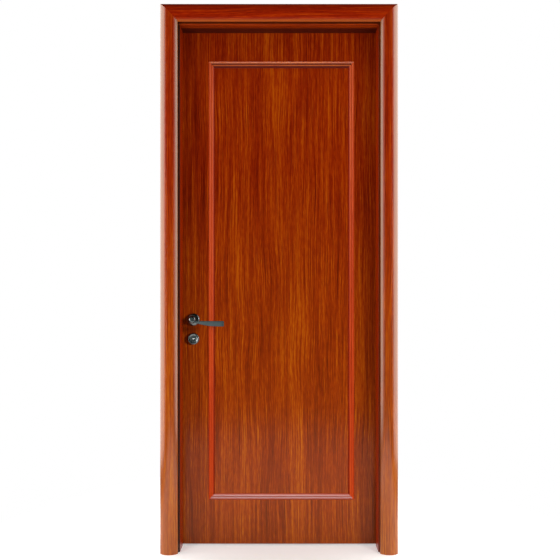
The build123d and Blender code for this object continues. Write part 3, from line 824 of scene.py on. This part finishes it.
# two places, and the shares there
PAINTED_FOOT_BY_HEIGHT = (0.05, 1.5, 1.0, 0.0)
LOCK_STILE_BY_X = (MIDDLE_X - 0.37, MIDDLE_X - 0.27, 0.66, 1.0)
HINGE_STILE_BY_X = (MIDDLE_X + 0.27, MIDDLE_X + 0.37, 1.0, 0.54)
RAIL_BY_DISTANCE = (0.85, 1.02, 1.0, 0.8)
PAINTED_SHADE_BY_X = (MIDDLE_X - 0.2, MIDDLE_X + 0.2, 1.0, 0.6)
FLANK_BY_HEIGHT = (0.2, 0.9, 0.0, 0.9)
CASING_COAT_BY_HEIGHT = (0.15, 0.75, 0.45, 0.9)
STRIP_COAT_BY_HEIGHT = (0.75, 1.5, 0.1, 1.0)
STOP_LINE_BY_DEPTH = (-0.0588, -0.0576, 1.0, 0.0)
REVEAL_BY_DEPTH = (-0.044, -0.026, 0.0, 0.9)


def painted_foot_light(wood, colour, foot):
    """Painted floor light at the foot: the colour times one triple plus another, mixed in from nothing at the
    upper height.
    """
    share = wood.between(wood.axis(2), *PAINTED_FOOT_BY_HEIGHT)
    return wood.mix(share, colour, wood.stretch(colour, *foot))


def painted_rim_shade(wood, colour):
    """Painted shade from the frame: the colour times a share for each stile and one for the rails."""
    x = wood.axis(0)
    stiles = wood.calc("MULTIPLY", wood.between(x, *LOCK_STILE_BY_X), wood.between(x, *HINGE_STILE_BY_X))
    from_centre = wood.calc("ABSOLUTE", wood.calc("SUBTRACT", wood.axis(2), LEAF_CENTRE))
    share = wood.calc("MULTIPLY", stiles, wood.between(from_centre, *RAIL_BY_DISTANCE))
    return wood.add("VectorMath", {0: colour, 3: share}, operation="SCALE").outputs[0]


def weaker_at_hinges(wood, share):
    """A share as it is on the lock side of the doorway, and six tenths of it on the hinge side."""
    return wood.calc("MULTIPLY", share, wood.between(wood.axis(0), *PAINTED_SHADE_BY_X))


def head_casing_painted_light(wood, colour):
    """Painted floor reflection golden towards the lower edge, and painted shade on the under side."""
    flank = wood.calc("MULTIPLY", wood.attribute("flank"), HEAD_FLANK_SHARE)
    colour = wood.mix(flank, colour, PAINTED_FLOOR_REFLECTION)
    return wood.mix(wood.attribute("shade"), colour, PAINTED_UNDER_SIDE_SHADE)


def upright_casing_painted_light(wood, colour):
    """Painted sheen towards both edges but not at the foot, painted shade on the inner side, less varnish at
    the foot.
    """
    height = wood.axis(2)
    flank = wood.calc("MULTIPLY", wood.attribute("flank"), wood.between(height, *FLANK_BY_HEIGHT))
    colour = wood.mix(flank, colour, PAINTED_FLANK_SHEEN)
    wood.link("Coat Weight", wood.between(height, *CASING_COAT_BY_HEIGHT))
    return wood.mix(weaker_at_hinges(wood, wood.attribute("shade")), colour, PAINTED_GAP_SHADE)


def painted_shade_on_stop_edge(wood, colour):
    """A dark line of painted shade on the front edge of the stops, in the gap beside the architraves."""
    line = wood.between(wood.axis(1), *STOP_LINE_BY_DEPTH)
    return wood.mix(weaker_at_hinges(wood, line), colour, PAINTED_GAP_SHADE)


def painted_shade_in_head_reveal(wood, colour):
    """Painted shade, darker with depth, up to nine tenths."""
    return wood.mix(wood.between(wood.axis(1), *REVEAL_BY_DEPTH), colour, DEEP_SHADE)


def strip_shade(wood, colour, shade, coat, upright):
    """The painted shade where the strip carries it. The varnish is thin there, and low on an upright strip."""
    share = wood.attribute("shade")
    thin = wood.between(share, 0.0, 1.0, coat, 0.0)
    if upright:
        thin = wood.calc("MULTIPLY", thin, wood.between(wood.axis(2), *STRIP_COAT_BY_HEIGHT))
    wood.link("Coat Weight", thin)
    return wood.mix(share, colour, shade)


print("foot, rim and stains ready; the foot's colour starts at", PAINTED_FOOT_BY_HEIGHT[1], "m")

# %% [markdown]
# One recipe serves all the boards: tone by grain, then the painted foot light and rim shade, then dark pore
# dashes, then the board's own painted light and shade at its edges, gaps and depths. The fibres also make the
# roughness and a shallow bump. Varnish is the shader's coat, and the bare wood under it has a warm gloss of its
# own.

# %% Varnished wood
PORE_SCALE, PORE_SEED = (330, 330, 5.5), (3, 1)
PORE_START, PORE_FULL = 0.60, 0.74
SMOOTHER, ROUGHER = 0.05, 0.07
FIBRE_RELIEF, FIBRE_STRENGTH = 0.0002, 0.2


def varnished_wood(
    name, tones, grain="z", seed=0.0, pores=0.5, rough=0.36, foot=None, rim=False, painted_light=None, shade=None,
    **varnish,
):
    """A finish from a list of tones; pores and shade are the share of the dashes and a strip's painted shade.
    """
    wood = Finish(name, **varnish)
    bent, fibres, value = long_grain(wood, grain, seed)
    colour = wood.ramp(value, tones)
    if foot:
        colour = painted_foot_light(wood, colour, foot)
    if rim:
        colour = painted_rim_shade(wood, colour)
    dashes = wood.noise(wood.stretch(bent, PORE_SCALE, (seed, *PORE_SEED)), 1.0)
    colour = wood.mix(wood.between(dashes, PORE_START, PORE_FULL, 0.0, pores), colour, DARK_PORE)
    if painted_light:
        colour = painted_light(wood, colour)
    if shade:
        colour = strip_shade(wood, colour, shade, varnish["Coat_Weight"], grain == "z")
    sheen = wood.between(fibres, 0.3, 0.7, rough - SMOOTHER, rough + ROUGHER)
    return wood.finish(colour, sheen, fibres, FIBRE_RELIEF, FIBRE_STRENGTH)


WARM, GOLDEN = (1.0, 0.36, 0.14, 1), (1.0, 0.50, 0.20, 1)
LEAF_VARNISH = dict(Coat_Weight=0.3, Coat_Roughness=0.16, Specular_IOR_Level=0.16, Specular_Tint=WARM)
CASING_VARNISH = dict(
    Coat_Weight=1.0, Coat_IOR=1.7, Coat_Roughness=0.16, Specular_IOR_Level=0.4, Specular_Tint=GOLDEN,
)
HEAD_VARNISH = dict(Coat_Weight=0.2, Coat_Roughness=0.2, Specular_IOR_Level=0.16, Specular_Tint=WARM)
STRIP_VARNISH = dict(Coat_Weight=0.6, Coat_Roughness=0.4, Specular_IOR_Level=0.3, Specular_Tint=WARM)
HEAD_STRIP_VARNISH = dict(
    Coat_Weight=1.0, Coat_IOR=1.8, Coat_Roughness=0.2, Specular_IOR_Level=0.2, Specular_Tint=WARM,
)
BOTTOM_STRIP_VARNISH = dict(Coat_Weight=1.0, Coat_IOR=2.6, Coat_Roughness=0.16, Specular_IOR_Level=0.3)
# painted shade of the upright, head and bottom strips
STRIP_SHADE, HEAD_STRIP_SHADE = (0.190, 0.0090, 0.0020), (0.085, 0.0085, 0.0060)
BOTTOM_STRIP_SHADE = (0.250, 0.0280, 0.0060)
STRIP_PORES = 0.2
print("varnish on the leaf:", LEAF_VARNISH["Coat_Weight"], "on the architraves:", CASING_VARNISH["Coat_Weight"])

# %% Finishes of the boards
veneer = varnished_wood("leaf_veneer", RED_VENEER, seed=1.7, foot=LEAF_FOOT_PAINTED_LIGHT, rim=True, **LEAF_VARNISH)
leaf_edge = varnished_wood("leaf_edge_wood", RED_VENEER, seed=4.1, rough=0.45, foot=LEAF_FOOT_PAINTED_LIGHT, **LEAF_VARNISH)
casing_upright = varnished_wood(
    "casing_upright", CASING_TONES, seed=6.3, foot=CASING_FOOT_PAINTED_LIGHT, painted_light=upright_casing_painted_light, **CASING_VARNISH,
)
casing_level = varnished_wood(
    "casing_level", HEAD_CASING_TONES, "x", 8.9, painted_light=head_casing_painted_light, **HEAD_VARNISH,
)
strip_upright = varnished_wood(
    "moulding_upright", STRIP_SHEEN_TONES, "z", 11.2, STRIP_PORES, foot=STRIP_FOOT_LESS_PAINTED_SHEEN, shade=STRIP_SHADE,
    **STRIP_VARNISH,
)
strip_head = varnished_wood(
    "moulding_head", HEAD_STRIP_SHADED_TONES, "x", 13.4, STRIP_PORES, shade=HEAD_STRIP_SHADE, **HEAD_STRIP_VARNISH,
)
strip_bottom = varnished_wood(
    "moulding_bottom", BOTTOM_STRIP_SHADED_TONES, "x", 12.6, STRIP_PORES, shade=BOTTOM_STRIP_SHADE,
    **BOTTOM_STRIP_VARNISH,
)
reveal_upright = varnished_wood(
    "reveal_upright", REVEAL_LIT_TONES, "z", 15.8, painted_light=painted_shade_on_stop_edge, **LEAF_VARNISH,
)
reveal_level = varnished_wood("reveal_level", HEAD_STOP_SHADED_TONES, "x", 17.1, painted_light=painted_shade_in_head_reveal, **LEAF_VARNISH)
lining_upright = varnished_wood("lining_upright", RED_VENEER, "z", 19.3, **LEAF_VARNISH)
lining_level = varnished_wood("lining_level", RED_VENEER, "x", 21.7, **LEAF_VARNISH)
woods = (veneer, casing_upright, strip_upright, reveal_upright)
print("wood finishes:", *(wood.name for wood in woods), "and their level twins")

# %% [markdown]
# The handle is gunmetal: satin on the blade, polished on the roses. Satin metal has fine parallel
# scratches, which a stretched noise gives as small changes of roughness; polish leaves only faint
# clouds under a clear lacquer. The lock and hinges are plain brushed steel, and the seals are rubber with
# a little dust.

# %% Metals and rubber
BARE_STEEL = (0.75, 0.76, 0.72)
CLOUD_SHADE = 0.82  # the darker tone's share of the colour
SCRATCH_RELIEF, SCRATCH_STRENGTH = 0.00003, 0.3
SLOT_FLOOR, SLOT_BLEND = 0.0270, 0.0002  # distance of the plug's slot floor from the leaf's middle


def worked_metal(name, colour, rough, scratches, spread=0.06, slot_floor=None, **lacquer):
    """One metal colour with slow clouds, and roughness that changes along fine scratches.

    A slot's floor is bare and bright where it lies nearer to the leaf's middle than a given distance.
    """
    metal = Finish(name, Metallic=1.0, **lacquer)
    lines = metal.noise(metal.stretch(metal.place, scratches), 3.0, 0.6)
    clouds = metal.noise(metal.stretch(metal.place, (60, 60, 60)), 2.0)
    darker = tuple(CLOUD_SHADE * c for c in colour)
    tone = metal.mix(metal.between(clouds, 0.3, 0.7), darker, colour)
    if slot_floor:
        depth = metal.calc("ABSOLUTE", metal.calc("SUBTRACT", metal.axis(1), LEAF_MIDDLE))
        bare = metal.between(depth, slot_floor, slot_floor + SLOT_BLEND, 1.0, 0.0)
        tone = metal.mix(bare, tone, BARE_STEEL)
    sheen = metal.between(lines, 0.3, 0.7, rough - spread, rough + spread)
    return metal.finish(tone, sheen, lines, SCRATCH_RELIEF, SCRATCH_STRENGTH)


LACQUER = dict(Coat_Weight=1.0, Coat_IOR=1.85, Coat_Roughness=0.05)
BRUSHED = (900, 900, 40)
lever_metal = worked_metal("lever_satin", (0.076, 0.098, 0.100), 0.52, (80, 900, 900))
rose_metal = worked_metal("rose_polish", (0.044, 0.059, 0.058), 0.36, (300, 300, 300), 0.03, **LACQUER)
plug_metal = worked_metal(
    "plug_satin", (0.046, 0.057, 0.056), 0.36, (400, 400, 400), slot_floor=SLOT_FLOOR, **LACQUER,
)
lock_steel = worked_metal("lock_steel", (0.42, 0.41, 0.39), 0.34, BRUSHED)
hinge_steel = worked_metal("hinge_steel", (0.33, 0.32, 0.30), 0.36, BRUSHED)

rubber = Finish("seal_rubber", Specular_IOR_Level=0.3)
dust = rubber.noise(rubber.stretch(rubber.place, (500, 500, 60)), 3.0, 0.7)
seal_rubber = rubber.finish(
    rubber.ramp(dust, [(0.3, (0.016, 0.011, 0.009)), (0.7, (0.030, 0.021, 0.017))]),
    rubber.between(dust, 0.3, 0.7, 0.6, 0.8), dust, 0.0001, 0.4,
)
print("metals:", [m.name for m in (lever_metal, rose_metal, plug_metal, lock_steel, hinge_steel)])

# %% [markdown]
# The floor is white paper and the cards are matt black. Paper is lit by the lamps and keeps the door's
# shadow; where the camera or a mirrored ray meets it, a little more white joins it with the background.
# The paper is an oval that reaches further in front of the door than behind it. Towards its edge it turns
# white, and then it fades away.

# %% Floor and card finishes
PAPER_HALF_WIDTH, PAPER_HALF_LENGTH = 1.45, 2.3
PAPER_AHEAD = 0.9  # from the door to the oval's middle
PAPER_WHITE = (0.96, 0.98, 1.0, 1)
GLOW_BY_OVAL = (0.35, 0.70, 0.2, 0.7)  # two shares of the oval, and the white there
FADE_BY_OVAL = (0.65, 1.0, 1.0, 0.0)
paper = Finish("floor_paper", Roughness=0.9, Specular_IOR_Level=0.2)
fleck = paper.noise(paper.stretch(paper.place, (40, 40, 40)), 3.0)
ray = paper.add("LightPath")
seen = paper.calc("ADD", ray.outputs["Is Camera Ray"], ray.outputs["Is Glossy Ray"])
seen = paper.calc("ADD", seen, ray.outputs["Is Transmission Ray"], clamp=True)
oval = paper.stretch(
    paper.place, (1 / PAPER_HALF_WIDTH, 1 / PAPER_HALF_LENGTH, 0),
    (-MIDDLE_X / PAPER_HALF_WIDTH, PAPER_AHEAD / PAPER_HALF_LENGTH, 0),
)
from_middle = paper.add("VectorMath", {0: oval}, operation="LENGTH").outputs["Value"]
paper.link("Emission Strength", paper.calc("MULTIPLY", seen, paper.between(from_middle, *GLOW_BY_OVAL)))
paper.link("Alpha", paper.between(from_middle, *FADE_BY_OVAL))
paper.shader.inputs["Emission Color"].default_value = PAPER_WHITE
floor_paper = paper.finish(paper.ramp(fleck, [(0.3, (0.82, 0.80, 0.76)), (0.7, (0.86, 0.84, 0.80))]))
floor.data.materials.append(floor_paper)

matt = Finish("card_black", Roughness=1.0, Specular_IOR_Level=0.0)
nap = matt.noise(matt.stretch(matt.place, (30, 30, 30)), 2.0)
card_black = matt.finish(matt.ramp(nap, [(0.3, (0.004, 0.004, 0.004)), (0.7, (0.008, 0.008, 0.008))]))
for card in cards:
    card.data.materials.append(card_black)
print("stage finishes:", floor_paper.name, card_black.name)

# %% [markdown]
# Each piece now gets its finish. Boards that stand take upright grain and boards that lie take level
# grain, as a joiner cuts them. The solids that still show are dressed by the words in their names. At the
# end each piece joins the groups that the lamps light.

# %% Dress every piece
def dress(thing, material):
    """Gives an object one material, whether or not it had slots."""
    slots = thing.material_slots
    if not slots:
        thing.data.materials.append(material)
    for slot in slots:
        slot.material = material


for node, board in architraves.items():
    dress(board, casing_level if "head" in node else casing_upright)
for node, strip in mouldings.items():
    dress(strip, strip_upright if "side" in node else strip_head if "head" in node else strip_bottom)
for rose in roses.values():
    dress(rose, rose_metal)
for name, piece in screws.items():
    dress(piece, hinge_steel if "hinge" in name else lock_steel)
for lever in levers.values():
    dress(lever, rose_metal)
    lever.data.materials.append(lever_metal)

by_word = [
    ("facing", veneer), ("stile", leaf_edge), ("rail", leaf_edge), ("core", leaf_edge), ("seal", seal_rubber),
    ("hinge_frame", hinge_steel), ("hinge_door", hinge_steel), ("hinge_pins", hinge_steel),
    ("head_stop", reveal_level), ("stop", reveal_upright),
    ("head_lining", lining_level), ("lining", lining_upright),
    ("key_plug", plug_metal), ("lock_case", lock_steel), ("bolt", lock_steel), ("strike", lock_steel),
    ("spindle", lock_steel), ("tail_bar", lock_steel), ("rose", rose_metal), ("lever", lever_metal),
    ("head_architrave", casing_level), ("architrave", casing_upright),
    ("side_moulding", strip_upright), ("head_moulding", strip_head), ("moulding", strip_bottom),
]
for name, thing in nodes.items():
    dress(thing, next(material for word, material in by_word if word in name))

# %% Fill the lamps' groups
for node, strip in mouldings.items():
    if "side" not in node:
        moulding_group.objects.link(strip)
    if "bottom" in node:
        bottom_strip_group.objects.link(strip)
for thing in [*roses.values(), *levers.values(), nodes["front_key_plug"], nodes["back_key_plug"]]:
    handle_group.objects.link(thing)
leaf_faces = [nodes["front_facing"], nodes["back_facing"]]
for thing in leaf_faces:
    leaf_group.objects.link(thing)
for thing in bpy.data.objects:
    if thing.type == "MESH" and thing not in leaf_faces:
        rest_group.objects.link(thing)
        if "lining" not in thing.name:
            room_group.objects.link(thing)
new_pieces = len(architraves) + len(mouldings) + len(roses) + len(levers) + len(screws)
print("dressed:", len(nodes), "solids and", new_pieces, "new pieces")
